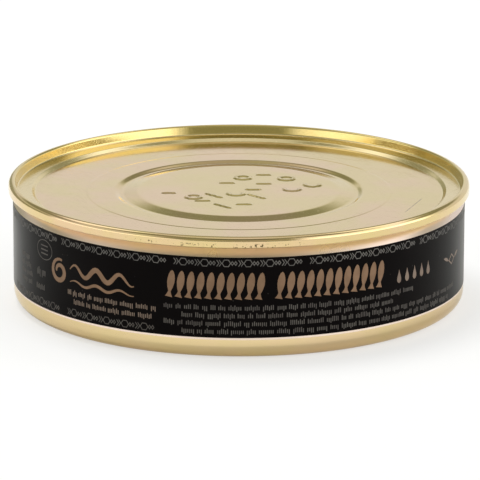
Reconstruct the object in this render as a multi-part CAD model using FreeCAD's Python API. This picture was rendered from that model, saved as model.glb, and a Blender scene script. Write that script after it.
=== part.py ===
import FreeCAD, Part
import math
import os

# Tin of sprats: a shut, flat round fish tin of gold-lacquered tinplate. It is a drawn body with a
# lid folded over its rim in a double seam, and a printed label wrapped round the body's wall.
# The tin is a body of revolution. Its origin is the middle of the face that it stands on, +Z up.
# Every outline is half a section: points of radius and height, each with the radius of its bend.

# ---- Driving dimensions, in millimetres -------------------------------------------------------
TIN_HEIGHT = 27.25          # from the stand ring to the top of the seam
BODY_RADIUS = 50.06         # outside of the drawn wall
TINPLATE = 0.22             # thickness of the sheet, in the wall and in the lid

# Double seam, the widest place. It lies round the wall's rim and the lid's wall lies inside it.
SEAM_OVERHANG = 1.09        # how far the seam stands out from the wall
SEAM_HEIGHT = 2.45          # from its lower edge to its rounded top
SEAM_HOOK = 0.9             # top of the wall's rim, below the top of the seam
SEAM_RADIUS = BODY_RADIUS + SEAM_OVERHANG
SEAM_THICKNESS = SEAM_OVERHANG + 2 * TINPLATE
SEAM_BEND = 0.65 * SEAM_THICKNESS           # bend over the top, outside
SEAM_INNER_BEND = 0.29 * SEAM_THICKNESS     # bend over the top, inside
SEAM_LOWER_BEND = 0.41 * SEAM_OVERHANG      # the hem's lower edge, which curls under

# Lid, from the seam inwards
CHUCK_TOP_RADIUS = BODY_RADIUS - 2 * TINPLATE   # the lid's wall lies inside the tin's wall
CHUCK_TAPER = 0.32          # how much the lid's wall leans in over its depth
LEDGE_DEPTH = 2.1           # from the top of the seam to the outside of the ledge
CHUCK_FOOT_BEND = 0.4       # bend from the lid's wall to the ledge
LEDGE_WIDTH = 3.3           # ring between the lid's wall and the step
LEDGE_FALL = 0.1            # how far the ledge falls over its width
STEP_DROP = 0.65            # from the ledge's inside down to the panel
STEP_RUN = 0.7              # how far the step spreads
STEP_BEND = 0.35            # bends at the top and the foot of the step

# Ring pressed round the lid's middle disc: steep outside, a long rise to the disc inside
GROOVE_RADIUS = 0.55 * BODY_RADIUS          # where the panel ends and the groove begins
GROOVE_DEPTH = 0.45
GROOVE_STEEP_RUN = 0.8      # spread of the outer side
GROOVE_FLOOR_WIDTH = 0.9
GROOVE_RISE_RUN = 5.0       # spread of the inner side
GROOVE_BEND = 0.5           # bend at the groove's outer edge
GROOVE_FLOOR_BEND = 0.8     # bend where the outer side meets the floor
GROOVE_RISE_BEND = 2.0      # bend where the floor meets the inner side
DISC_BEND = 8.0             # bend where the inner side meets the disc

# Body
BASE_BEND = 2.9             # bend from the wall to the base
STAND_WIDTH = 1.4           # flat ring that the tin stands on
BASE_RECESS = 0.8           # the base's panel, above the stand ring
BASE_SLOPE = 1.1            # run of the slope from the stand ring to the panel
BASE_BEND_INNER = 0.6       # bends at the slope's two ends
BASE_BEAD_RADIUS = 0.72 * BODY_RADIUS       # middle of the pressed ring in the base
BASE_BEAD_WIDTH = 3.0       # across that ring
BASE_BEAD_HEIGHT = 0.5      # how far that ring rises above the panel
BASE_BEAD_BEND = 0.8        # bends at that ring's edges

# Label
LABEL_THICKNESS = 0.1
LABEL_BOTTOM = 4.8
LABEL_BELOW_SEAM = 2.2      # bare wall between the label and the seam


# ---- Outlines ---------------------------------------------------------------------------------
def vector(point):
    """Place in the XZ half plane of an outline's (radius, height)."""
    return FreeCAD.Vector(point[0], 0.0, point[1])


def bend_at(before, corner, after, radius):
    """Start, middle and end of the arc of that radius that rounds an outline's corner."""
    to_before = (vector(before) - vector(corner)).normalize()
    to_after = (vector(after) - vector(corner)).normalize()
    half_angle = to_before.getAngle(to_after) / 2
    reach = radius / math.tan(half_angle)
    bisector = (to_before + to_after).normalize()
    centre = vector(corner) + bisector * (radius / math.sin(half_angle))
    start = vector(corner) + to_before * reach
    end = vector(corner) + to_after * reach
    middle = centre - bisector * radius
    return start, middle, end


def closed_wire(outline):
    """Wire through an outline's corners, (radius, height, bend), with its bends as arcs."""
    edges = []
    ends = []
    for index, (r, z, bend) in enumerate(outline):
        before = outline[index - 1]
        after = outline[(index + 1) % len(outline)]
        if bend > 0:
            start, middle, end = bend_at(before[:2], (r, z), after[:2], bend)
            edges.append(Part.Arc(start, middle, end).toShape())
            ends.append((start, end))
        else:
            ends.append((vector((r, z)), vector((r, z))))
    for index, (start, end) in enumerate(ends):
        following = ends[(index + 1) % len(ends)][0]
        if (following - end).Length > 1e-6:
            edges.append(Part.LineSegment(end, following).toShape())
    return Part.Wire(Part.__sortEdges__(edges))


def revolved(outline):
    """Solid of revolution about the tin's axis."""
    face = Part.Face(closed_wire(outline))
    solid = face.revolve(FreeCAD.Vector(0, 0, 0), FreeCAD.Vector(0, 0, 1), 360)
    return Part.Solid(solid) if solid.ShapeType == "Shell" else solid


# ---- Levels and radii that follow from the sizes above -----------------------------------------
seam_bottom = TIN_HEIGHT - SEAM_HEIGHT
rim_top = TIN_HEIGHT - SEAM_HOOK
wall_inside = BODY_RADIUS - TINPLATE
chuck_foot_radius = CHUCK_TOP_RADIUS - CHUCK_TAPER
ledge_outside_level = TIN_HEIGHT - LEDGE_DEPTH
ledge_inside_level = ledge_outside_level - LEDGE_FALL
step_top_radius = chuck_foot_radius - LEDGE_WIDTH
panel_level = ledge_inside_level - STEP_DROP


def groove(level):
    """Outline corners, from outside in, of the ring pressed down round the lid's disc."""
    steep_foot = GROOVE_RADIUS - GROOVE_STEEP_RUN
    rise_foot = steep_foot - GROOVE_FLOOR_WIDTH
    return [
        (GROOVE_RADIUS, level, GROOVE_BEND),
        (steep_foot, level - GROOVE_DEPTH, GROOVE_FLOOR_BEND),
        (rise_foot, level - GROOVE_DEPTH, GROOVE_RISE_BEND),
        (rise_foot - GROOVE_RISE_RUN, level, DISC_BEND),
    ]


def lid_face(below):
    """Corners of the lid's face that lies that far below its top face, from the wall inwards."""
    panel = panel_level - below
    corners = [
        (chuck_foot_radius + below, ledge_outside_level - below, CHUCK_FOOT_BEND + below),
        (step_top_radius, ledge_inside_level - below, STEP_BEND),
        (step_top_radius - STEP_RUN, panel, STEP_BEND),
    ]
    return corners + groove(panel) + [(0.0, panel, 0)]


def lid():
    """The lid and its seam, folded over the wall's rim and closed down on it."""
    seam = [
        (BODY_RADIUS, seam_bottom, 0),
        (SEAM_RADIUS, seam_bottom, SEAM_LOWER_BEND),
        (SEAM_RADIUS, TIN_HEIGHT, SEAM_BEND),
        (CHUCK_TOP_RADIUS, TIN_HEIGHT, SEAM_INNER_BEND),
    ]
    rim_slot = [(wall_inside, rim_top, 0), (BODY_RADIUS, rim_top, 0)]
    return revolved(seam + lid_face(0.0) + lid_face(TINPLATE)[::-1] + rim_slot)


def base():
    """Corners of the drawn base, from the middle out to the wall."""
    stand_outside = BODY_RADIUS - BASE_BEND
    stand_inside = stand_outside - STAND_WIDTH
    ring_inside = BASE_BEAD_RADIUS - BASE_BEAD_WIDTH / 2
    ring_outside = BASE_BEAD_RADIUS + BASE_BEAD_WIDTH / 2
    ring_top = BASE_RECESS + BASE_BEAD_HEIGHT
    return [
        (0.0, BASE_RECESS, 0),
        (ring_inside, BASE_RECESS, BASE_BEAD_BEND),
        (ring_inside + BASE_BEAD_HEIGHT, ring_top, BASE_BEAD_BEND),
        (ring_outside - BASE_BEAD_HEIGHT, ring_top, BASE_BEAD_BEND),
        (ring_outside, BASE_RECESS, BASE_BEAD_BEND),
        (stand_inside - BASE_SLOPE, BASE_RECESS, BASE_BEND_INNER),
        (stand_inside, 0.0, BASE_BEND_INNER),
        (BODY_RADIUS, 0.0, BASE_BEND),
    ]


def tin_body():
    """The drawn body, shut and full: solid up to the underside of the lid."""
    rim = [(BODY_RADIUS, rim_top, 0), (wall_inside, rim_top, 0)]
    return revolved(base() + rim + lid_face(TINPLATE))


def label():
    """The printed label, wrapped once round the wall."""
    label_top = seam_bottom - LABEL_BELOW_SEAM
    outside = BODY_RADIUS + LABEL_THICKNESS
    return revolved([
        (BODY_RADIUS, LABEL_BOTTOM, 0),
        (outside, LABEL_BOTTOM, 0),
        (outside, label_top, 0),
        (BODY_RADIUS, label_top, 0),
    ])


# ---- Pieces -----------------------------------------------------------------------------------
PIECES = {"tin_body": tin_body, "lid": lid, "label": label}

os.makedirs("parts", exist_ok=True)
for name, make in PIECES.items():
    piece = make()
    piece.exportStep(os.path.join("parts", name + ".step"))
    box = piece.BoundBox
    print(f"{name}: {piece.ShapeType}, valid {piece.isValid()}, volume {piece.Volume / 1000:.3f} cm3, "
          f"from {box.ZMin:.2f} to {box.ZMax:.2f} mm up")
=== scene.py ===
# %% [markdown]
# # A tin of sprats
# The real thing is a shut round fish tin: gold-lacquered sheet metal, drawn into a shallow cup,
# closed with a lid whose edge is folded together with the cup's rim, and wrapped in a printed
# label. The CAD model gives every size. Here the tin gets surfaces smooth enough to mirror a
# studio, the marks pressed in its lid, the print on its label, and its finishes.
# The frame comes first, and its boxes give the sizes.

# %% Load the frame
import bpy
import math
import random
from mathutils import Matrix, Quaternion, Vector


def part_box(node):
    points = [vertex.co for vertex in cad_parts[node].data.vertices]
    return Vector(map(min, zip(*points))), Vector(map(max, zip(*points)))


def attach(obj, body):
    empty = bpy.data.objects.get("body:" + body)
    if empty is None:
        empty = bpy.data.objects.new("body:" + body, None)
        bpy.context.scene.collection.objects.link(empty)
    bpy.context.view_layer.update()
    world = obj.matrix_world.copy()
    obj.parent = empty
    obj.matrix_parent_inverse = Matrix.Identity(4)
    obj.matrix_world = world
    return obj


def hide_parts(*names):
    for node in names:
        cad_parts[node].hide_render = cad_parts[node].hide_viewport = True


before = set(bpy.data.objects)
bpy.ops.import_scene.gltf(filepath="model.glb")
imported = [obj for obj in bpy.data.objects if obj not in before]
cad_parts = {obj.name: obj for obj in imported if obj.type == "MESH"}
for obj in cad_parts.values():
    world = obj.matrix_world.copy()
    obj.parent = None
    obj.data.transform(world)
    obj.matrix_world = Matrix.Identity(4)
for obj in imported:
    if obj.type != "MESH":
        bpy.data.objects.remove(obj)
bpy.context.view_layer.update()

from types import SimpleNamespace

MM = 0.001
random.seed(7)
_, lid_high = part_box("lid")
_, body_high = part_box("tin_body")
label_low, label_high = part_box("label")
tin_height = lid_high.z / MM
seam_radius = lid_high.x / MM
body_radius = body_high.x / MM
label_radius = label_high.x / MM
label_bottom = label_low.z / MM
label_top = label_high.z / MM
print(f"tin {2 * seam_radius:.1f} mm across, {tin_height:.2f} mm high")

# %% [markdown]
# ## A lathe
# Drawn and pressed tinware is round, so each shell is half a section turned about the axis.
# Blender's Screw modifier could do that, and so could Spin, which is used here because the
# result is plain mesh that can still be pressed and dented. A section is written as corners, each
# with the radius of its bend. Every bend gets two extra points just beyond its ends: they keep
# the shading of the flat beside it flat, which matters on metal that mirrors.

# %% Section helpers
BEND_STEPS = 9
GUARD = 0.05            # mm between a bend's end and the point that guards the flat beside it
GUARD_SHARE = 0.7       # of the way to the next corner, past which that point never lies
MERGE_WITHIN = 0.002    # mm


def rounded(corners, bend_steps=BEND_STEPS):
    """Points of a section whose corners are (radius, height, bend)."""
    points = []
    for index, (r, z, bend) in enumerate(corners):
        corner = Vector((r, z))
        if bend <= 0:
            points.append(corner)
            continue
        before = Vector(corners[index - 1][:2]) - corner
        after = Vector(corners[index + 1][:2]) - corner
        half = before.angle(after) / 2
        reach = bend / math.tan(half)
        to_before, to_after = before.normalized(), after.normalized()
        centre = corner + (to_before + to_after).normalized() * (bend / math.sin(half))
        start = corner + to_before * reach
        end = corner + to_after * reach
        sweep = (start - centre).angle_signed(end - centre)
        points.append(corner + to_before * min(reach + GUARD, before.length * GUARD_SHARE))
        arm = start - centre
        for step in range(bend_steps + 1):
            turn = -sweep * step / bend_steps
            points.append(centre + Vector((arm.x * math.cos(turn) - arm.y * math.sin(turn),
                                           arm.x * math.sin(turn) + arm.y * math.cos(turn))))
        points.append(corner + to_after * min(reach + GUARD, after.length * GUARD_SHARE))
    return points


def clear_selection():
    """Nothing stays selected, so that the next operator acts on the new piece alone."""
    if bpy.context.object and bpy.context.object.mode != "OBJECT":
        bpy.ops.object.mode_set(mode="OBJECT")
    bpy.ops.object.select_all(action="DESELECT")


def pick(piece):
    """One piece alone is selected and active."""
    clear_selection()
    piece.select_set(True)
    bpy.context.view_layer.objects.active = piece


def turned(name, points, steps):
    """A section turned round the axis: a plane is merged to one point, extruded, then spun."""
    clear_selection()
    first = points[0]
    bpy.ops.mesh.primitive_plane_add(size=MM, location=(first.x * MM, 0, first.y * MM))
    piece = bpy.context.object
    piece.name = piece.data.name = name
    bpy.ops.object.transform_apply(location=True, rotation=False, scale=False)
    bpy.ops.object.mode_set(mode="EDIT")
    bpy.ops.mesh.select_all(action="SELECT")
    bpy.ops.mesh.merge(type="CENTER")
    for here, there in zip(points, points[1:]):
        move = (there - here) * MM
        bpy.ops.mesh.extrude_region_move(TRANSFORM_OT_translate={"value": (move.x, 0, move.y)})
    bpy.ops.mesh.select_all(action="SELECT")
    bpy.ops.mesh.spin(steps=steps, angle=2 * math.pi, center=(0, 0, 0), axis=(0, 0, 1))
    bpy.ops.mesh.select_all(action="SELECT")
    bpy.ops.mesh.remove_doubles(threshold=MERGE_WITHIN * MM)
    bpy.ops.mesh.normals_make_consistent(inside=False)
    bpy.ops.object.mode_set(mode="OBJECT")
    bpy.ops.object.shade_smooth()
    return piece


# %% [markdown]
# ## The lid
# A lid is stamped from one sheet. From the outside in it has the rolled seam, a wall that leans
# in a little, a ledge, a short step, a flat panel, and a groove round the middle disc: steep
# outside, with a long rise inside, which is what makes one side of it dark and sharp and the
# other soft. The section below follows it down one face and back under the other, so the lid is
# a closed sheet. The disc is cut into many thin rings, because marks are pressed in it next.

# %% Lid section
SHEET = 0.22
SEAM_HEIGHT = 2.45
SEAM_HOOK = 0.9             # from the seam's top down to the rim of the wall
CHUCK_TAPER = 0.32          # how much the lid's wall leans in over its depth
CHUCK_FOOT_BEND = 0.4
LEDGE_DEPTH = 2.1           # from the seam's top down to the ledge
LEDGE_WIDTH = 3.3
LEDGE_FALL = 0.1            # how far the ledge falls over its width
STEP_DROP = 0.65            # from the ledge down to the panel
STEP_RUN = 0.7
STEP_BEND = 0.35
FAINT_STEP = 0.04           # a hardly visible rise of the panel inside this radius
FAINT_STEP_RADIUS = 34.0
FAINT_STEP_RUN = 0.4
FAINT_STEP_BEND = 0.12
GROOVE_DEPTH = 0.45
GROOVE = (                  # how far in from the groove's edge, how far down, and the bend
    (0.0, 0.0, 2.0), (1.1, GROOVE_DEPTH, 1.6), (1.9, GROOVE_DEPTH, 3.0), (5.2, 0.0, 8.0),
    (7.0, 0.0, 0))
RING_STEP = 0.22            # between the thin rings of the disc
UNDERSIDE_BEND_STEPS = 3
LID_STEPS = 320

seam_overhang = seam_radius - body_radius
seam_thickness = seam_overhang + 2 * SHEET
chuck_radius = body_radius - 2 * SHEET
seam_bottom = tin_height - SEAM_HEIGHT
foot_radius = chuck_radius - CHUCK_TAPER
ledge_level = tin_height - LEDGE_DEPTH
step_radius = foot_radius - LEDGE_WIDTH
panel_level = ledge_level - (LEDGE_FALL + STEP_DROP)
groove_radius = 0.55 * body_radius


def lid_face(below):
    """Corners of the lid's face, that far under its top face, from the wall to the groove."""
    panel = panel_level - below
    middle = panel + FAINT_STEP
    corners = [
        (foot_radius + below, ledge_level - below, CHUCK_FOOT_BEND + below),
        (step_radius, ledge_level - LEDGE_FALL - below, STEP_BEND),
        (step_radius - STEP_RUN, panel, STEP_BEND),
        (FAINT_STEP_RADIUS, panel, FAINT_STEP_BEND),
        (FAINT_STEP_RADIUS - FAINT_STEP_RUN, middle, FAINT_STEP_BEND),
    ]
    return corners + [(groove_radius - inward, middle - down, bend)
                      for inward, down, bend in GROOVE]


seam = [
    (body_radius, seam_bottom, 0),
    (seam_radius, seam_bottom, 0.41 * seam_overhang),
    (seam_radius, tin_height, 0.65 * seam_thickness),
    (chuck_radius, tin_height, 0.29 * seam_thickness),
]
disc_radius = groove_radius - GROOVE[-1][0]
disc_level = panel_level + FAINT_STEP
ring_count = int(disc_radius / RING_STEP)
disc_rings = [Vector((disc_radius * (1 - n / ring_count), disc_level))
              for n in range(1, ring_count + 1)]
face = rounded(seam + lid_face(0.0)) + disc_rings
underside = rounded([(0.0, disc_level - SHEET, 0)] + lid_face(SHEET)[::-1]
                    + [(body_radius - SHEET, seam_bottom, 0), (body_radius, seam_bottom, 0)],
                    UNDERSIDE_BEND_STEPS)
lid_shell = turned("lid_shell", face + underside, LID_STEPS)
print("lid", len(lid_shell.data.vertices), "points")

# %% [markdown]
# ## Marks pressed in the disc
# A packer stamps a code in the lid. Here plain dashes, slants, arcs and rings stand in for it,
# scattered across the disc. They are pressed the way a stamp does it: the points under each stroke
# are selected and lifted, and proportional editing draws the sheet up softly round them.

# %% Press the marks
MARK_LIFT = 0.2
MARK_REACH = 0.55           # how far round a stroke the sheet is drawn up
STROKE_HALF_WIDTH = 0.24


def arc(radius, start, end, count):
    """Points of an arc round the origin, with its angles in degrees."""
    turns = [math.radians(start + (end - start) * n / (count - 1)) for n in range(count)]
    return [(radius * math.cos(t), radius * math.sin(t)) for t in turns]


DASH = [(-1.2, 0), (1.2, 0)]
BOWL = arc(1.7, 170, 370, 9)
HOOP = arc(1.6, 0, 360, 17)
SLASH = [(-1.5, 1.6), (1.5, -1.6)]
MARKS = [                   # across, up, stroke
    (-15.6, -2.4, DASH), (-10.0, -6.0, HOOP), (-5.6, -4.6, SLASH), (-0.6, -2.9, BOWL),
    (3.9, -5.2, SLASH), (3.2, 0.9, DASH), (-8.0, -9.2, DASH), (-3.6, -13.6, SLASH),
    (1.1, -12.2, DASH), (11.8, 1.2, BOWL), (-2.6, 6.6, DASH), (0.9, 11.2, HOOP),
    (5.6, 6.0, DASH), (5.6, 14.0, DASH), (10.6, 10.6, HOOP), (16.4, 5.2, BOWL),
]


def pressed(piece, x, y, stroke):
    """Lifts the sheet under one stroke."""
    path = [Vector((x + px, y + py)) * MM for px, py in stroke]
    pick(piece)
    bpy.ops.object.mode_set(mode="EDIT")
    bpy.ops.mesh.select_mode(type="VERT")
    bpy.ops.mesh.select_all(action="DESELECT")
    bpy.ops.object.mode_set(mode="OBJECT")
    half = STROKE_HALF_WIDTH * MM
    level = (disc_level - SHEET / 2) * MM
    hit = 0
    for point in piece.data.vertices:
        flat = point.co.xy
        under = False
        if point.co.z > level and flat.length < disc_radius * MM:
            for a, b in zip(path, path[1:]):
                along = b - a
                t = max(0.0, min(1.0, (flat - a).dot(along) / along.length_squared))
                if (flat - a - along * t).length < half:
                    under = True
                    break
        point.select = under
        hit += under
    bpy.ops.object.mode_set(mode="EDIT")
    bpy.ops.transform.translate(value=(0, 0, MARK_LIFT * MM), use_proportional_edit=True,
                                proportional_edit_falloff="SMOOTH",
                                proportional_size=MARK_REACH * MM)
    bpy.ops.object.mode_set(mode="OBJECT")
    return hit


lifted = [pressed(lid_shell, x, y, stroke) for x, y, stroke in MARKS]
print("points lifted under each mark", lifted)

# %% [markdown]
# ## The body
# The cup is drawn in one piece: a flat stand ring, a recessed base with one stiffening ring, a
# generous bend up to the wall, and the wall's rim hidden in the seam. It is turned like the lid.

# %% Body section
BASE_BEND = 2.9
STAND_WIDTH = 1.4
BASE_RECESS = 0.8
BASE_SLOPE = 1.1            # run of the slope from the stand ring to the recess
BASE_SLOPE_BEND = 0.6
BEAD_HALF_WIDTH = 1.5       # the stiffening ring
BEAD_HEIGHT = 0.5
BEAD_BEND = 0.8
HIDDEN_TOP = 1.0            # from the lid's disc down to the top of the body, which never shows
BODY_STEPS = 300

rim_top = tin_height - SEAM_HOOK
body_top = disc_level - HIDDEN_TOP
bead_top = BASE_RECESS + BEAD_HEIGHT
bead_top_half = BEAD_HALF_WIDTH - BEAD_HEIGHT
stand_outside = body_radius - BASE_BEND
stand_inside = stand_outside - STAND_WIDTH
base_ring = 0.72 * body_radius
body_section = [
    (0.0, BASE_RECESS, 0),
    (base_ring - BEAD_HALF_WIDTH, BASE_RECESS, BEAD_BEND),
    (base_ring - bead_top_half, bead_top, BEAD_BEND),
    (base_ring + bead_top_half, bead_top, BEAD_BEND),
    (base_ring + BEAD_HALF_WIDTH, BASE_RECESS, BEAD_BEND),
    (stand_inside - BASE_SLOPE, BASE_RECESS, BASE_SLOPE_BEND),
    (stand_inside, 0.0, BASE_SLOPE_BEND),
    (body_radius, 0.0, BASE_BEND),
    (body_radius, rim_top, 0),
    (body_radius - SHEET, rim_top, 0),
    (body_radius - SHEET, body_top, 0),
    (0.0, body_top, 0),
]
body_shell = turned("body_shell", rounded(body_section), BODY_STEPS)
print("body", len(body_shell.data.vertices), "points")

# %% [markdown]
# ## The label
# The label is a printed sleeve, a tenth of a millimetre thick. Its edges are crisp, so the band
# is turned from a plain four-cornered section and shaded by angle. The turned section is closed,
# so it starts and ends at the same corner.

# %% Label band
LABEL_STEPS = 360
CRISP_ANGLE = math.radians(40)
label_section = [Vector((r, z)) for r, z in (
    (body_radius, label_bottom), (label_radius, label_bottom),
    (label_radius, label_top), (body_radius, label_top), (body_radius, label_bottom))]
label_band = turned("label_band", label_section, LABEL_STEPS)
pick(label_band)
bpy.ops.object.shade_smooth_by_angle(angle=CRISP_ANGLE)
print("label", len(label_band.data.vertices), "points")

# %% [markdown]
# ## Ink
# The label's print could be painted by the label's material. Thin strips of ink are used instead:
# their edges stay crisp at any distance. All are one idea, a strip laid along a path with a width
# at each point, and so a fish, a wave, a drop and a border are all the same helper with other
# numbers. They are laid out flat, where across is the way round the tin and up is up, and then
# cut into short lengths and wrapped round the label.

# %% Ink helper
MITRE_LIMIT = 2.0           # how far a sharp corner may stick out, in half widths


def oval(x, y, half_width, half_height, step):
    """Points round an oval, so many degrees apart, back to the first."""
    return [(x + half_width * math.cos(math.radians(t)),
             y + half_height * math.sin(math.radians(t))) for t in range(0, 361, step)]


def strip(points, widths, closed=False):
    """A flat strip of ink along points in mm, with a width at each.

    It is made from a grid one face wide.
    """
    path = [Vector(p) for p in points]
    count = len(path)
    clear_selection()
    bpy.ops.mesh.primitive_grid_add(x_subdivisions=count - 1, y_subdivisions=1, size=2)
    piece = bpy.context.object
    order = sorted(piece.data.vertices, key=lambda v: (round(v.co.y, 3), v.co.x))
    for n in range(count):
        if closed:
            before, after = path[(n - 1) % (count - 1)], path[(n + 1) % (count - 1)]
            here = path[n % (count - 1)]
        else:
            before, after, here = path[max(n - 1, 0)], path[min(n + 1, count - 1)], path[n]
        along_in = (here - before).normalized() if here != before else (after - here).normalized()
        along_out = (after - here).normalized() if after != here else along_in
        across = Vector((-(along_in + along_out).y, (along_in + along_out).x)).normalized()
        mitre = 1 / max(1 / MITRE_LIMIT, across.dot(Vector((-along_out.y, along_out.x))))
        reach = across * (widths[n] / 2 * mitre)
        order[n].co = (*(here - reach), 0)
        order[n + count].co = (*(here + reach), 0)
    return piece


def joined(name, pieces):
    """Several flat pieces made one."""
    clear_selection()
    for piece in pieces:
        piece.select_set(True)
    bpy.context.view_layer.objects.active = pieces[0]
    bpy.ops.object.join()
    pieces[0].name = pieces[0].data.name = name
    return pieces[0]


def copied(piece, across, up=0.0):
    """A copy with its own mesh, moved across and up."""
    twin = piece.copy()
    twin.data = piece.data.copy()
    bpy.context.collection.objects.link(twin)
    twin.location = (across, up, 0)
    return twin


# %% [markdown]
# ### Sprats and drops
# The big print on the front is two rows of sprats standing side by side, as they lie in the tin.
# One fish is a strip that starts wide at the tail, narrows, swells at the belly and closes at the
# nose. An oil drop is a shorter one.

# %% Sprats and drops
FISH_SPINE = [(0.0, 13.4), (0.1, 14.0), (0.2, 14.6), (0.35, 15.6), (0.5, 16.6), (0.62, 17.5),
              (0.72, 18.3), (0.8, 19.0), (0.84, 19.3)]
FISH_WIDTHS = [1.7, 0.95, 0.55, 1.25, 1.62, 1.6, 1.3, 0.75, 0.05]
FISH_PITCH = 2.16
SHOALS = ((-15.2, 10), (8.6, 12))       # start and number of fish
DROP_LEVELS = (16.3, 15.6, 15.0, 14.4, 13.9, 13.5, 13.3)
DROP_WIDTHS = [0.05, 0.4, 0.85, 1.2, 1.2, 0.8, 0.1]
DROP_START, DROP_PITCH, DROP_COUNT = 38.2, 2.5, 5

fish = strip(FISH_SPINE, FISH_WIDTHS)
bronze = [copied(fish, start + n * FISH_PITCH) for start, count in SHOALS for n in range(count)]
drop = strip([(0, level) for level in DROP_LEVELS], DROP_WIDTHS)
pale = [copied(drop, DROP_START + n * DROP_PITCH) for n in range(DROP_COUNT)]
bpy.data.objects.remove(fish)
bpy.data.objects.remove(drop)
print(len(bronze), "sprats and", len(pale), "drops")

# %% [markdown]
# ### A wave
# To the left of the sprats a breaking wave fills the place of a name: a curl that winds inwards,
# and two strokes that run on from it and thin out.

# %% Wave
CURL_POINTS = 29
CURL_ACROSS, CURL_UP = -44.4, 14.5
WAVE_POINTS = 40
WAVE_START = -40.8
WAVE_STEP = 0.45
WAVE_LENGTH = 6.2
WAVES = ((15.7, 1.15, 1.05), (12.9, 0.45, 0.6))     # level, swell and weight of each stroke

curl = []
for n in range(CURL_POINTS):
    turn = math.radians(70 + n * 17)
    radius = 2.75 - 0.062 * n
    curl.append((CURL_ACROSS + radius * math.cos(turn), CURL_UP + radius * math.sin(turn)))
bronze.append(strip(curl, [0.35 + 0.75 * math.sin(math.pi * (n + 2) / (CURL_POINTS + 3))
                           for n in range(CURL_POINTS)]))
for level, swell, weight in WAVES:
    path = [(WAVE_START + WAVE_STEP * n,
             level + swell * math.sin(WAVE_STEP * n * 2 * math.pi / WAVE_LENGTH))
            for n in range(WAVE_POINTS)]
    bronze.append(strip(path, [weight * math.sin(math.pi * (n + 1.5) / (WAVE_POINTS + 2)) + 0.1
                               for n in range(WAVE_POINTS)]))

# %% [markdown]
# ### Small print
# Small print is set as plain upright ticks in groups as long as words. A group starts as a grid
# one row high, from which every second face is deleted, and some ticks are drawn out up or down.

# %% Small print
TICK = 0.21                 # width of a tick and of the gap beside it
DRAWS = (0, 0, -0.15, 0.3, 0.4, -0.4)   # shares of its height that a tick is drawn up or down
GROUP_TICKS = (3, 9)
GROUP_GAP = (0.6, 0.85)
GREY_ROWS = ((-16.3, 42.6, 11.35), (-12.3, 37.0, 9.6), (-16.3, 58.0, 7.85), (-12.3, 58.0, 6.1))
PALE_ROWS = ((-41.5, -19.0, 10.45), (-39.6, -20.8, 8.5))
SIDE_LEVELS = (9.2, 11.0, 12.8, 14.6)


def tick_group(across, up, count, height):
    """A group of ticks from a grid."""
    clear_selection()
    faces = 2 * count - 1
    bpy.ops.mesh.primitive_grid_add(x_subdivisions=faces, y_subdivisions=1, size=1)
    piece = bpy.context.object
    for point in piece.data.vertices:
        point.co.x = across + (point.co.x + 0.5) * faces * TICK
        point.co.y = up + point.co.y * height
    bpy.ops.object.mode_set(mode="EDIT")
    bpy.ops.mesh.select_mode(type="FACE")
    bpy.ops.mesh.select_all(action="DESELECT")
    bpy.ops.object.mode_set(mode="OBJECT")
    for side in piece.data.polygons:
        side.select = int((side.center.x - across) / TICK) % 2 == 1
    bpy.ops.object.mode_set(mode="EDIT")
    bpy.ops.mesh.delete(type="FACE")
    bpy.ops.mesh.select_mode(type="VERT")
    bpy.ops.object.mode_set(mode="OBJECT")
    for side in piece.data.polygons:
        draw = random.choice(DRAWS)
        for index in side.vertices:
            point = piece.data.vertices[index]
            if draw and (point.co.y > up) == (draw > 0):
                point.co.y += draw * height
    return piece


def row(start, end, up, height):
    """Groups of ticks with gaps, from start to end."""
    made = []
    across = start
    while across < end:
        count = random.randint(*GROUP_TICKS)
        made.append(tick_group(across, up, count, height))
        across += (2 * count - 1) * TICK + random.uniform(*GROUP_GAP)
    return made


grey = []
for start, end, up in GREY_ROWS:
    grey += row(start, end, up, 0.78)
for start, end, up in PALE_ROWS:
    pale += row(start, end, up, 0.8)
for up in SIDE_LEVELS:
    grey += row(-62.5, -57.0, up, 0.8)
grey += row(-53.5, -50.4, 12.6, 1.2) + row(-53.8, -49.6, 9.2, 0.9)
print(len(grey) + len(pale), "groups in the small print so far")

# %% [markdown]
# ### Ring and emblem
# Two small devices: an oval ring with bars, and a lozenge between two leaves.

# %% Ring and emblem
LINE = 0.17                 # width of a fine line
BAR_WIDTH = 0.28

ring = oval(-50.2, 18.0, 3.1, 2.2, 15)
grey.append(strip(ring, [LINE] * len(ring), closed=True))
grey += [strip([(-51.6, v), (-48.8, v)], [BAR_WIDTH] * 2) for v in (17.1, 18.0, 18.9)]
lozenge = [(59.8, 15.0), (61.4, 13.9), (59.8, 12.8), (58.2, 13.9), (59.8, 15.0)]
pale.append(strip(lozenge, [BAR_WIDTH] * 5, closed=True))
for way in (-1, 1):
    leaf = [(59.8 + way * (1.9 + 0.5 * n), 13.9 + 0.3 * n - 0.02 * n * n) for n in range(6)]
    pale.append(strip(leaf, [0.1, 0.5, 0.75, 0.7, 0.45, 0.1]))

# %% [markdown]
# ### The border
# The band along the label's edge is a traditional stitch-like ornament: two chevrons, a hexagon
# and two small lozenges, repeated. One repeat is modelled and copied along, in runs with short
# gaps.

# %% Border
REPEAT = 4.67
RUN_START, RUN_PITCH, RUN_REPEATS = -14.05, 29.5, 6
LAST_RUN_START, LAST_RUN_REPEATS = 162.95, 4
LOWER_STARTS, LOWER_REPEATS = (-67.6, -41.6), 5
border_level = label_top - 1.25
lower_level = label_bottom + 1.35


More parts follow.
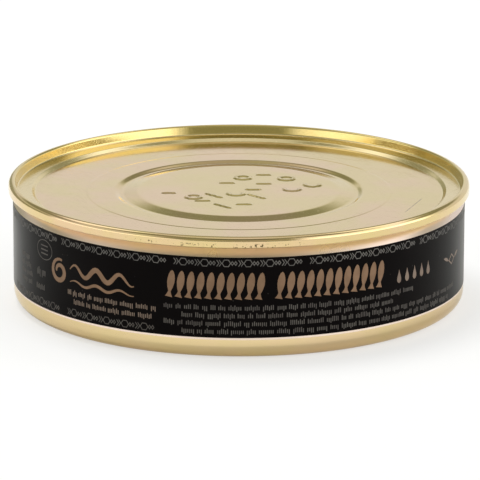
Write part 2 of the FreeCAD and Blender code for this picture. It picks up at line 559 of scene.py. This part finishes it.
def border_repeat():
    """One repeat, its middle line at height 0."""
    parts = [strip(oval(2.08, 0, 0.9, 0.84, 60), [LINE] * 7, closed=True)]
    for ends in (0.0, 0.55):
        parts.append(strip([(ends, 0.7), (ends + 0.5, 0.0), (ends, -0.7)], [LINE] * 3))
    for x in (3.36, 4.08):
        parts.append(strip(oval(x, 0, 0.3, 0.42, 90), [LINE] * 5, closed=True))
    return joined("repeat", parts)


one = border_repeat()
border = [copied(one, RUN_START + run * RUN_PITCH + n * REPEAT, border_level)
          for run in range(-4, 6) for n in range(RUN_REPEATS)]
border += [copied(one, LAST_RUN_START + n * REPEAT, border_level)
           for n in range(LAST_RUN_REPEATS)]
lower = [copied(one, start + n * REPEAT, lower_level)
         for start in LOWER_STARTS for n in range(LOWER_REPEATS)]
bpy.data.objects.remove(one)
print(len(border) + len(lower), "repeats of the border")

# %% [markdown]
# ### Wrap the print
# The front's print is repeated on the back of the label. Each ink is joined into one flat sheet,
# cut across every 0.8 mm so that it can follow the curve, given a thickness by Solidify, and its
# points are then moved round the tin: the way across becomes an angle.

# %% Wrap
INK_THICKNESS = 0.015
INK_LIFT = 0.6              # of its thickness, from the label to the ink's middle
CUT = 0.8
WELD_WITHIN = 0.001         # mm
half_way_round = math.pi * label_radius


def wrapped(name, pieces, twice):
    """Joins, cuts, thickens and wraps one ink."""
    sheet = joined(name, pieces)
    bpy.ops.object.transform_apply(location=True, rotation=True, scale=True)
    if twice:
        twin = copied(sheet, half_way_round)
        clear_selection()
        sheet = joined(name, [sheet, twin])
        bpy.ops.object.transform_apply(location=True, rotation=True, scale=True)
    bpy.ops.object.mode_set(mode="EDIT")
    bpy.ops.mesh.select_all(action="SELECT")
    bpy.ops.mesh.remove_doubles(threshold=WELD_WITHIN)
    first = min(point.co.x for point in sheet.data.vertices)
    last = max(point.co.x for point in sheet.data.vertices)
    across = first + CUT
    while across < last:
        bpy.ops.mesh.select_all(action="SELECT")
        bpy.ops.mesh.bisect(plane_co=(across, 0, 0), plane_no=(1, 0, 0))
        across += CUT
    bpy.ops.mesh.select_all(action="SELECT")
    bpy.ops.mesh.normals_make_consistent(inside=False)
    bpy.ops.object.mode_set(mode="OBJECT")
    thick = sheet.modifiers.new("thickness", "SOLIDIFY")
    thick.thickness = INK_THICKNESS
    thick.offset = 0
    bpy.ops.object.modifier_apply(modifier=thick.name)
    for point in sheet.data.vertices:
        turn = point.co.x / label_radius
        out = label_radius + INK_THICKNESS * INK_LIFT + point.co.z
        point.co = Vector((out * math.sin(turn), -out * math.cos(turn), point.co.y)) * MM
    bpy.ops.object.mode_set(mode="EDIT")
    bpy.ops.mesh.select_all(action="SELECT")
    bpy.ops.mesh.normals_make_consistent(inside=False)
    bpy.ops.object.mode_set(mode="OBJECT")
    return sheet


print_bronze = wrapped("print_bronze", bronze, True)
print_pale = wrapped("print_pale", pale, True)
print_grey = wrapped("print_grey", grey + lower, True)
print_border = wrapped("print_border", border, False)
for sheet in (print_bronze, print_pale, print_grey, print_border):
    print(sheet.name, len(sheet.data.polygons), "faces")

# %% [markdown]
# ## Node helpers
# Each finish is a small network of nodes. One helper adds a node, fills its inputs and returns
# it, so that a network reads from top to bottom like a recipe.

# %% Node helpers
BUMP_DISTANCE = 0.00002     # metres
WHITE = (1, 1, 1, 1)


def put(tree, kind, inputs=None, **settings):
    """Adds a node, makes its settings, and gives its inputs a value or a link."""
    made = tree.nodes.new(kind)
    for key, value in settings.items():
        setattr(made, key, value)
    for key, value in (inputs or {}).items():
        if isinstance(value, bpy.types.NodeSocket):
            tree.links.new(value, made.inputs[key])
        else:
            made.inputs[key].default_value = value
    return made


def sums(tree, operation, first, second=0.0):
    """One Math node's result."""
    return put(tree, "ShaderNodeMath", {0: first, 1: second}, operation=operation).outputs[0]


def times(tree, first, second):
    """A product."""
    return sums(tree, "MULTIPLY", first, second)


def plus(tree, first, *others):
    """A sum of two or more."""
    for other in others:
        first = sums(tree, "ADD", first, other)
    return first


def rest_of(tree, value):
    """What is left of 1."""
    return sums(tree, "SUBTRACT", 1.0, value)


def ramp(tree, value, low, high):
    """0 below low, 1 above high, smooth between."""
    return put(tree, "ShaderNodeMapRange", {"Value": value, "From Min": low, "From Max": high},
               interpolation_type="SMOOTHSTEP").outputs["Result"]


def between(tree, value, low, high, soft):
    """1 between low and high, with soft edges."""
    return times(tree, ramp(tree, value, low - soft, low + soft),
                 rest_of(tree, ramp(tree, value, high - soft, high + soft)))


def blend_colours(tree, factor, first, second):
    """A Mix node's colour."""
    return put(tree, "ShaderNodeMix", {"Factor": factor, "A": first, "B": second},
               data_type="RGBA").outputs["Result"]


def object_place(tree):
    """Position on the object, in metres."""
    return put(tree, "ShaderNodeTexCoord").outputs["Object"]


def parts_of(tree, vector):
    """X, Y and Z of a vector."""
    return put(tree, "ShaderNodeSeparateXYZ", {0: vector}).outputs


def from_axis(tree, axes):
    """Distance from the tin's axis."""
    flat = put(tree, "ShaderNodeCombineXYZ", {0: axes[0], 1: axes[1]}).outputs[0]
    return put(tree, "ShaderNodeVectorMath", {0: flat}, operation="LENGTH").outputs["Value"]


def link_finish(tree, shader, colour, roughness, height, strength):
    """Links a finish's colour and roughness, and its fine relief as a bump."""
    bump = put(tree, "ShaderNodeBump", {"Height": height, "Strength": strength,
                                        "Distance": BUMP_DISTANCE})
    for socket, value in (("Base Color", colour), ("Roughness", roughness),
                          ("Normal", bump.outputs[0])):
        tree.links.new(value, shader.inputs[socket])


def finish_named(name):
    """An empty material and its Principled shader."""
    material = bpy.data.materials.new(name)
    material.use_nodes = True
    tree = material.node_tree
    return material, tree, tree.nodes["Principled BSDF"]


# %% [markdown]
# ## A shared group: handled sheet metal
# Lacquered tinplate is never even. The lacquer is a touch thicker in places, the rolled sheet has
# a faint grain, and handling leaves hair scratches and specks of dust. The lid, the body and the
# label all show it, so it is one node group with its own inputs, placed in each finish with its
# own sizes. It reads positions on the object, in metres.

# %% Handled sheet group
HAIRS = ((0.5, 9000.0), (2.1, 7000.0), (1.2, 11000.0))      # angle, and scale across the hairs
HAIR_SCALE_ALONG = 110.0
DUST_SCALE = 420.0


def make_handled_sheet():
    """The group's network."""
    group = bpy.data.node_groups.new("handled sheet", "ShaderNodeTree")
    for name, kind in (("Position", "NodeSocketVector"), ("Cloud size", "NodeSocketFloat"),
                       ("Grain size", "NodeSocketFloat")):
        group.interface.new_socket(name=name, in_out="INPUT", socket_type=kind)
    for name in ("Clouds", "Grain", "Scratches", "Dust"):
        group.interface.new_socket(name=name, in_out="OUTPUT", socket_type="NodeSocketFloat")
    source = group.nodes.new("NodeGroupInput")
    result = group.nodes.new("NodeGroupOutput")
    where = source.outputs["Position"]
    clouds = put(group, "ShaderNodeTexNoise", {"Vector": where, "Scale": source.outputs[1],
                                               "Detail": 3.0, "Roughness": 0.55})
    grain = put(group, "ShaderNodeTexNoise", {"Vector": where, "Scale": source.outputs[2],
                                              "Detail": 2.0, "Roughness": 0.6})
    scratches = None
    for angle, stretch in HAIRS:
        turned_way = put(group, "ShaderNodeVectorRotate", {"Vector": where, "Angle": angle},
                         rotation_type="Z_AXIS").outputs[0]
        long_way = put(group, "ShaderNodeVectorMath",
                       {0: turned_way, 1: (HAIR_SCALE_ALONG, stretch, stretch)},
                       operation="MULTIPLY").outputs[0]
        lines = put(group, "ShaderNodeTexNoise", {"Vector": long_way, "Scale": 1.0,
                                                  "Detail": 0.0}).outputs["Fac"]
        hair = ramp(group, lines, 0.74, 0.80)
        scratches = hair if scratches is None else sums(group, "MAXIMUM", scratches, hair)
    specks = put(group, "ShaderNodeTexVoronoi", {"Vector": where, "Scale": DUST_SCALE,
                                                 "Randomness": 1.0})
    dust = rest_of(group, ramp(group, specks.outputs["Distance"], 0.03, 0.07))
    group.links.new(clouds.outputs["Fac"], result.inputs["Clouds"])
    group.links.new(grain.outputs["Fac"], result.inputs["Grain"])
    group.links.new(scratches, result.inputs["Scratches"])
    group.links.new(dust, result.inputs["Dust"])
    return group


handled_sheet = make_handled_sheet()


def handled(tree, position, cloud_size, grain_size):
    """The group's outputs, placed in a finish."""
    placed = put(tree, "ShaderNodeGroup", node_tree=handled_sheet)
    tree.links.new(position, placed.inputs["Position"])
    placed.inputs["Cloud size"].default_value = cloud_size
    placed.inputs["Grain size"].default_value = grain_size
    return placed.outputs


# %% [markdown]
# ## Gold lacquer on the lid
# The colour of gold-lacquered tinplate is the colour of what it mirrors, tinted. So the shader is
# metal with a yellow base colour, low roughness, and just enough variation that large flats look
# like real sheet: pinker and yellower clouds, brushing on the lid's wall left by the seaming
# tool, a few hair scratches, and one long scratch on the panel. The lid's wall also gets a
# yellower gold, which is a painted reflection tint, and its ledge a paler gold, a painted
# highlight.

# %% Lid finish
GOLD = (0.75, 0.60, 0.28, 1.0)
PINK_GOLD = (0.79, 0.575, 0.35, 1.0)
# painted reflection tint: the lid's wall gets a yellower gold than the rest of the lid
WALL_PAINTED_REFLECTION_GOLD = (0.76, 0.60, 0.24, 1.0)
# painted highlight: the ledge gets a paler gold than the rest of the lid
LEDGE_PAINTED_HIGHLIGHT_GOLD = (0.84, 0.69, 0.38, 1.0)
SCUFF = (0.16, 0.12, 0.06, 1.0)
GOLD_BUMP = 0.25
# Radii, heights and places below are in metres.
WALL_RADII = (0.0491, 0.0501)
LEDGE_RADII = (0.0451, 0.0494)
SCRATCH_PLACE = (-0.0382, 0.013, 0.0)
SCRATCH_TURN = 0.33
SCRATCH_HALF_WIDTH = 0.00012
SCRATCH_ENDS = (-0.0055, 0.0065)
SCUFF_HEIGHTS = (0.0249, 0.0258)
SCUFF_ANGLES = (-0.45, 0.3)


def gold_lacquer(name, wall_brushing_and_painted_tint):
    """The lacquer's network up to its colour and its relief, and what later nodes need of it."""
    material, tree, shader = finish_named(name)
    position = object_place(tree)
    wear = handled(tree, position, 55.0, 2600.0)
    colour = blend_colours(tree, ramp(tree, wear["Clouds"], 0.35, 0.65), GOLD, PINK_GOLD)
    axes = parts_of(tree, position)
    shader.inputs["Metallic"].default_value = 1.0
    height = times(tree, wear["Grain"], 0.12)
    if wall_brushing_and_painted_tint:
        height = sums(tree, "SUBTRACT", height, times(tree, wear["Scratches"], 0.3))
        angle = sums(tree, "ARCTAN2", axes[0], axes[1])
        brushed = put(tree, "ShaderNodeCombineXYZ", {0: times(tree, angle, 60.0),
                                                     1: times(tree, axes[2], 120.0)}).outputs[0]
        streaks = put(tree, "ShaderNodeTexNoise", {"Vector": brushed, "Scale": 1.0,
                                                   "Detail": 4.0}).outputs["Fac"]
        wall = times(tree, between(tree, from_axis(tree, axes), *WALL_RADII, 0.0003),
                     ramp(tree, axes[2], (ledge_level - 0.1) * MM, (ledge_level + 0.2) * MM))
        # painted reflection tint on the wall, mixed in by the same mask as the real brushing
        # streaks
        colour = blend_colours(tree, wall, colour, WALL_PAINTED_REFLECTION_GOLD)
        height = plus(tree, height, times(tree, times(tree, streaks, wall), 1.5))
    return SimpleNamespace(material=material, tree=tree, shader=shader, position=position,
                           axes=axes, wear=wear, colour=colour, height=height)


def lid_finish():
    """The lid's lacquer, with one long scratch, scuffs on the seam's front and a painted highlight:
    a paler gold on the ledge.
    """
    made = gold_lacquer("gold lacquer lid", True)
    tree, axes, wear = made.tree, made.axes, made.wear
    line = put(tree, "ShaderNodeMapping", {"Vector": made.position, "Location": SCRATCH_PLACE},
               vector_type="POINT")
    turned_line = put(tree, "ShaderNodeVectorRotate", {"Vector": line.outputs[0],
                                                       "Angle": SCRATCH_TURN},
                      rotation_type="Z_AXIS").outputs[0]
    line_axes = parts_of(tree, turned_line)
    scratch = times(tree, between(tree, line_axes[0], -SCRATCH_HALF_WIDTH, SCRATCH_HALF_WIDTH,
                                  0.0001),
                    between(tree, line_axes[1], *SCRATCH_ENDS, 0.001))
    scratch = times(tree, scratch, ramp(tree, wear["Grain"], 0.35, 0.5))
    colour = blend_colours(tree, times(tree, scratch, 0.7), made.colour, SCUFF)
    angle = sums(tree, "ARCTAN2", axes[0], times(tree, axes[1], -1.0))
    on_seam = times(tree, between(tree, axes[2], *SCUFF_HEIGHTS, 0.0002),
                    between(tree, angle, *SCUFF_ANGLES, 0.08))
    spots = put(tree, "ShaderNodeTexNoise", {"Vector": made.position, "Scale": 1500.0,
                                             "Detail": 3.0}).outputs["Fac"]
    scuffs = times(tree, on_seam, ramp(tree, spots, 0.60, 0.66))
    colour = blend_colours(tree, scuffs, colour, SCUFF)
    # painted highlight: the ledge between the wall's foot and the step is mixed to a paler gold
    above_ledge = ramp(tree, axes[2], (ledge_level + 0.1) * MM, (ledge_level + 0.3) * MM)
    ledge = times(tree, between(tree, from_axis(tree, axes), *LEDGE_RADII, 0.0002),
                  rest_of(tree, above_ledge))
    colour = blend_colours(tree, ledge, colour, LEDGE_PAINTED_HIGHLIGHT_GOLD)
    rough = plus(tree, 0.075, times(tree, wear["Clouds"], 0.05), times(tree, scuffs, 0.3),
                 times(tree, wear["Scratches"], 0.12), times(tree, ledge, 0.08))
    link_finish(tree, made.shader, colour, rough, made.height, GOLD_BUMP)
    return made.material


lid_gold = lid_finish()

# %% [markdown]
# ## Gold lacquer on the body
# The body has the same lacquer. Two bands by the label's edges are mixed in by height, in a
# pinker, paler gold and rougher: one from the label's top up under the seam, and a thin one just
# below the label's bottom, which is a painted highlight line.

# %% Body finish
BODY_GOLD = (0.78, 0.61, 0.35, 1.0)
# pinker, paler gold by the label's edges; just below the label it is a painted highlight line
LABEL_EDGE_BAND_GOLD = (0.86, 0.71, 0.61, 1.0)


def body_finish():
    """The body's lacquer, with pinker, paler, rougher bands by the label's two edges; the thin one
    below the label is a painted highlight line.
    """
    made = gold_lacquer("gold lacquer body", False)
    tree, level = made.tree, made.axes[2]
    over = ramp(tree, level, (label_top - 0.3) * MM, label_top * MM)
    # the thin band just below the label's bottom is a painted highlight line
    under = between(tree, level, (label_bottom - 0.45) * MM, (label_bottom + 1) * MM, 0.0001)
    label_edge_bands = sums(tree, "MAXIMUM", over, under)
    colour = blend_colours(tree, 0.6, made.colour, BODY_GOLD)
    colour = blend_colours(tree, label_edge_bands, colour, LABEL_EDGE_BAND_GOLD)
    rough = plus(tree, 0.10, times(tree, made.wear["Clouds"], 0.06), times(tree, label_edge_bands, 0.15))
    link_finish(tree, made.shader, colour, rough, made.height, GOLD_BUMP)
    return made.material


body_gold = body_finish()

# %% [markdown]
# ## The label's black, and its inks
# The sleeve is near-black with a satin face: it takes almost nothing from the light in front and
# has a grey sheen at its sides, which the shader's sheen gives. The bronze ink has metal powder
# in it, so it is a rough metal; the small print is a dull grey ink.

# %% Label and ink finishes
BLACK = (0.0012, 0.0008, 0.0008, 1)
BLACK_CLOUD = (0.004, 0.0025, 0.0025, 1)
DUST = (0.12, 0.11, 0.1, 1)


def label_finish():
    """Satin black with a little dust and a grey sheen."""
    material, tree, shader = finish_named("black sleeve")
    wear = handled(tree, object_place(tree), 90.0, 1800.0)
    colour = blend_colours(tree, wear["Clouds"], BLACK, BLACK_CLOUD)
    colour = blend_colours(tree, times(tree, wear["Dust"], 0.25), colour, DUST)
    shader.inputs["Specular IOR Level"].default_value = 0.03
    shader.inputs["Sheen Weight"].default_value = 0.3
    shader.inputs["Sheen Roughness"].default_value = 0.3
    rough = plus(tree, 0.24, times(tree, wear["Clouds"], 0.12))
    link_finish(tree, shader, colour, rough, wear["Grain"], 0.15)
    return material


def ink_finish(name, first, second, metal, roughness):
    """An ink that is blotchy between two colours."""
    material, tree, shader = finish_named(name)
    wear = handled(tree, object_place(tree), 400.0, 3000.0)
    blotches = ramp(tree, wear["Clouds"], 0.35, 0.65)
    shader.inputs["Metallic"].default_value = metal
    shader.inputs["Specular IOR Level"].default_value = 0.25
    colour = blend_colours(tree, blotches, first, second)
    rough = plus(tree, roughness, times(tree, blotches, 0.1))
    link_finish(tree, shader, colour, rough, wear["Grain"], 0.3)
    return material


black_sleeve = label_finish()
bronze_ink = ink_finish("bronze ink", (0.20, 0.12, 0.072, 1), (0.245, 0.15, 0.092, 1), 0.6, 0.4)
pale_ink = ink_finish("pale ink", (0.19, 0.14, 0.11, 1), (0.24, 0.18, 0.14, 1), 0.4, 0.45)
grey_ink = ink_finish("grey ink", (0.075, 0.065, 0.06, 1), (0.11, 0.10, 0.09, 1), 0.2, 0.5)
border_ink = ink_finish("border ink", (0.10, 0.095, 0.09, 1), (0.15, 0.14, 0.13, 1), 0.2, 0.5)

# %% [markdown]
# ## Put the finishes on, and hand the pieces to the frame
# Each new piece rides on the tin's only body. The three shells stand for the CAD's three nodes,
# which are hidden and kept for collision.

# %% Dress the tin
for piece, finish, slot in (
        (lid_shell, lid_gold, "gold_tinplate_lid"), (body_shell, body_gold, "gold_tinplate"),
        (label_band, black_sleeve, "printed_label"), (print_bronze, bronze_ink, "printed_label"),
        (print_pale, pale_ink, "printed_label"), (print_grey, grey_ink, "printed_label"),
        (print_border, border_ink, "printed_label")):
    piece.data.materials.clear()
    piece.data.materials.append(finish)
    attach(piece, "root")
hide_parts("lid")
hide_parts("tin_body")
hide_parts("label")

# %% [markdown]
# ## Floor, studio and camera
# A mirror-like tin shows the room, so the room matters more than the lamps. The world is a studio
# written as patches of light by direction, each a band round by a band up, added to a dim, slightly
# warm room: a pale sweep behind the tin with a dark patch at its left, a soft box and a paler wall
# at each side, light high behind and overhead, and a weak fill in front. One lamp overhead gives
# the floor its light and the tin its shadow. It is hidden from mirrors, where the patches do its
# work. The floor shows white, yet keeps the shadow, because it glows only where the camera or a
# mirror sees it.

# %% Floor
FLOOR_SIZE = 1.3
FLOOR_GREY = 0.93
CAMERA_SHARE = 0.6          # of the glow, in what the camera sees of the floor
UNDER_SHARE = 0.15          # of the glow, in what the tin mirrors of the floor near it
BESIDE = (0.15, 0.4)        # how far aside the floor turns bright in the tin's mirror
FRONT_EDGE = (-0.02, 0.12)
FRONT_SLANT = 0.2

clear_selection()
bpy.ops.mesh.primitive_grid_add(x_subdivisions=12, y_subdivisions=12, size=FLOOR_SIZE,
                                location=(0, 0, 0))
floor = bpy.context.object
floor.name = "floor"
floor_finish, floor_tree, floor_shader = finish_named("studio floor")
floor_shader.inputs["Base Color"].default_value = (FLOOR_GREY, FLOOR_GREY, FLOOR_GREY, 1)
floor_shader.inputs["Roughness"].default_value = 1.0
floor_shader.inputs["Specular IOR Level"].default_value = 0.0
paper = put(floor_tree, "ShaderNodeEmission", {"Strength": 1.0})
path = put(floor_tree, "ShaderNodeLightPath").outputs
place = parts_of(floor_tree, object_place(floor_tree))
slanted = sums(floor_tree, "SUBTRACT", place[1], times(floor_tree, place[0], FRONT_SLANT))
front_side = rest_of(floor_tree, ramp(floor_tree, slanted, *FRONT_EDGE))
far_aside = ramp(floor_tree, sums(floor_tree, "ABSOLUTE", place[0]), *BESIDE)
beside = times(floor_tree, front_side, far_aside)
mirrored = plus(floor_tree, UNDER_SHARE, times(floor_tree, beside, 1 - UNDER_SHARE))
seen = sums(floor_tree, "MAXIMUM", times(floor_tree, path["Is Camera Ray"], CAMERA_SHARE),
            times(floor_tree, path["Is Glossy Ray"], mirrored))
lit = put(floor_tree, "ShaderNodeMixShader", {0: seen, 1: floor_shader.outputs[0],
                                              2: paper.outputs[0]})
floor_tree.links.new(lit.outputs[0], floor_tree.nodes["Material Output"].inputs["Surface"])
floor.data.materials.append(floor_finish)

# %% Studio
DIM = (0.98, 1.0, 0.72, 1.0)        # the room away from the lights is a little warm
DIM_TO_WHITE = (0.3, 0.85)          # strengths between which that warmth fades
ROOM_LIGHT = 0.29
# Each patch is its strength, what its first band runs along, that band's low end, high end and
# soft edge, and the same three for its band up, in degrees. A negative strength takes light away.
# "aside" is the angle away from the front on either side, and "round" is that angle to the right.
PATCHES = (
    (0.54, "aside", (98, 200, 8), (-40, 22, 4)),        # pale sweep behind
    (-0.46, "round", (-172, -105, 5), (-8, 17, 3)),     # dark patch in it, at the left
    (0.75, "round", (30, 103, 7), (-8, 22, 6)),         # soft box at the right
    (1.0, "round", (-101, -28, 7), (-8, 11, 4)),        # soft box at the left
    (1.1, "round", (34, 108, 10), (-8, 48, 6)),         # wall above it at the right
    (0.45, "round", (-99, -42, 11), (-8, 46, 6)),       # wall above it at the left
    (0.95, "aside", (104, 158, 8), (42, 66, 5)),        # two patches high behind
    (0.2, "aside", (110, 200, 20), (38, 62, 6)),        # a dim light across them and the gap
    (0.45, "aside", (-20, 85, 8), (70, 86, 3)),         # high in front
    (-0.1, "aside", (-20, 20, 6), (34, 62, 6)),         # a shade above the camera
    (0.22, "aside", (-20, 24, 6), (9, 30, 4)),          # weak fill round the camera
    (0.6, "aside", (98, 200, 8), (70, 100, 4)),         # overhead, behind
    (0.45, "aside", (-20, 98, 8), (84, 100, 3)),        # overhead, in front
)


def studio():
    """The world: patches of light for what the tin mirrors, and plain white for the camera."""
    world = bpy.data.worlds.new("studio")
    bpy.context.scene.world = world
    world.use_nodes = True
    tree = world.node_tree
    background = tree.nodes["Background"]
    x, y, z = parts_of(tree, put(tree, "ShaderNodeTexCoord").outputs["Generated"])
    round_way = sums(tree, "ARCTAN2", x, times(tree, y, -1.0))
    ways = {"round": round_way, "aside": sums(tree, "ABSOLUTE", round_way)}
    up_way = sums(tree, "ARCSINE", z)

    def band(value, limits):
        return between(tree, value, *(math.radians(limit) for limit in limits))

    light = ROOM_LIGHT
    for strength, way, across, up in PATCHES:
        patch = times(tree, band(ways[way], across), band(up_way, up))
        light = plus(tree, light, times(tree, patch, strength))
    seen = put(tree, "ShaderNodeLightPath").outputs["Is Camera Ray"]
    strength = put(tree, "ShaderNodeMix", {"Factor": seen, "A": light, "B": 1.0},
                   data_type="FLOAT").outputs["Result"]
    colour = blend_colours(tree, ramp(tree, strength, *DIM_TO_WHITE), DIM, WHITE)
    tree.links.new(colour, background.inputs["Color"])
    tree.links.new(strength, background.inputs["Strength"])


studio()

# %% Lamp
LAMP_SIZE = 0.7
LAMP_POWER = 9.0
LAMP_PLACE = (-0.25, 0.25, 1.3)
lamp_data = bpy.data.lights.new("overhead lamp", "AREA")
lamp_data.shape = "DISK"
lamp_data.size = LAMP_SIZE
lamp_data.energy = LAMP_POWER
lamp = bpy.data.objects.new("overhead lamp", lamp_data)
bpy.context.collection.objects.link(lamp)
lamp.location = LAMP_PLACE
lamp.rotation_mode = "QUATERNION"
lamp.rotation_quaternion = (-lamp.location).to_track_quat("-Z", "Y")
lamp.visible_glossy = False

# %% [markdown]
# ## Camera
# The view is a product shot: a long lens, a little above the tin, turned by a hair. The camera
# looks at a point near the tin's axis, lifted across its line of sight to about half the height.

# %% Camera
ELEVATION = math.radians(15.69)
DISTANCE = 1.126
LENS = 378.0
ROLL = math.radians(0.175)
AIM_ASIDE, AIM_LIFT = 0.27, 12.59       # mm
camera_data = bpy.data.cameras.new("camera")
camera_data.sensor_width = 36.0
camera_data.lens = LENS
camera_data.clip_start = 0.01
camera_data.clip_end = 50.0
camera = bpy.data.objects.new("camera", camera_data)
bpy.context.collection.objects.link(camera)
camera.location = (0, -DISTANCE * math.cos(ELEVATION), DISTANCE * math.sin(ELEVATION))
lift = Vector((0, math.sin(ELEVATION), math.cos(ELEVATION)))
aim = Vector((AIM_ASIDE * MM, 0, 0)) + lift * (AIM_LIFT * MM)
camera.rotation_mode = "QUATERNION"
camera.rotation_quaternion = ((aim - camera.location).to_track_quat("-Z", "Y")
                              @ Quaternion((0, 0, 1), ROLL))
bpy.context.scene.camera = camera
bpy.context.scene.view_settings.view_transform = "Standard"
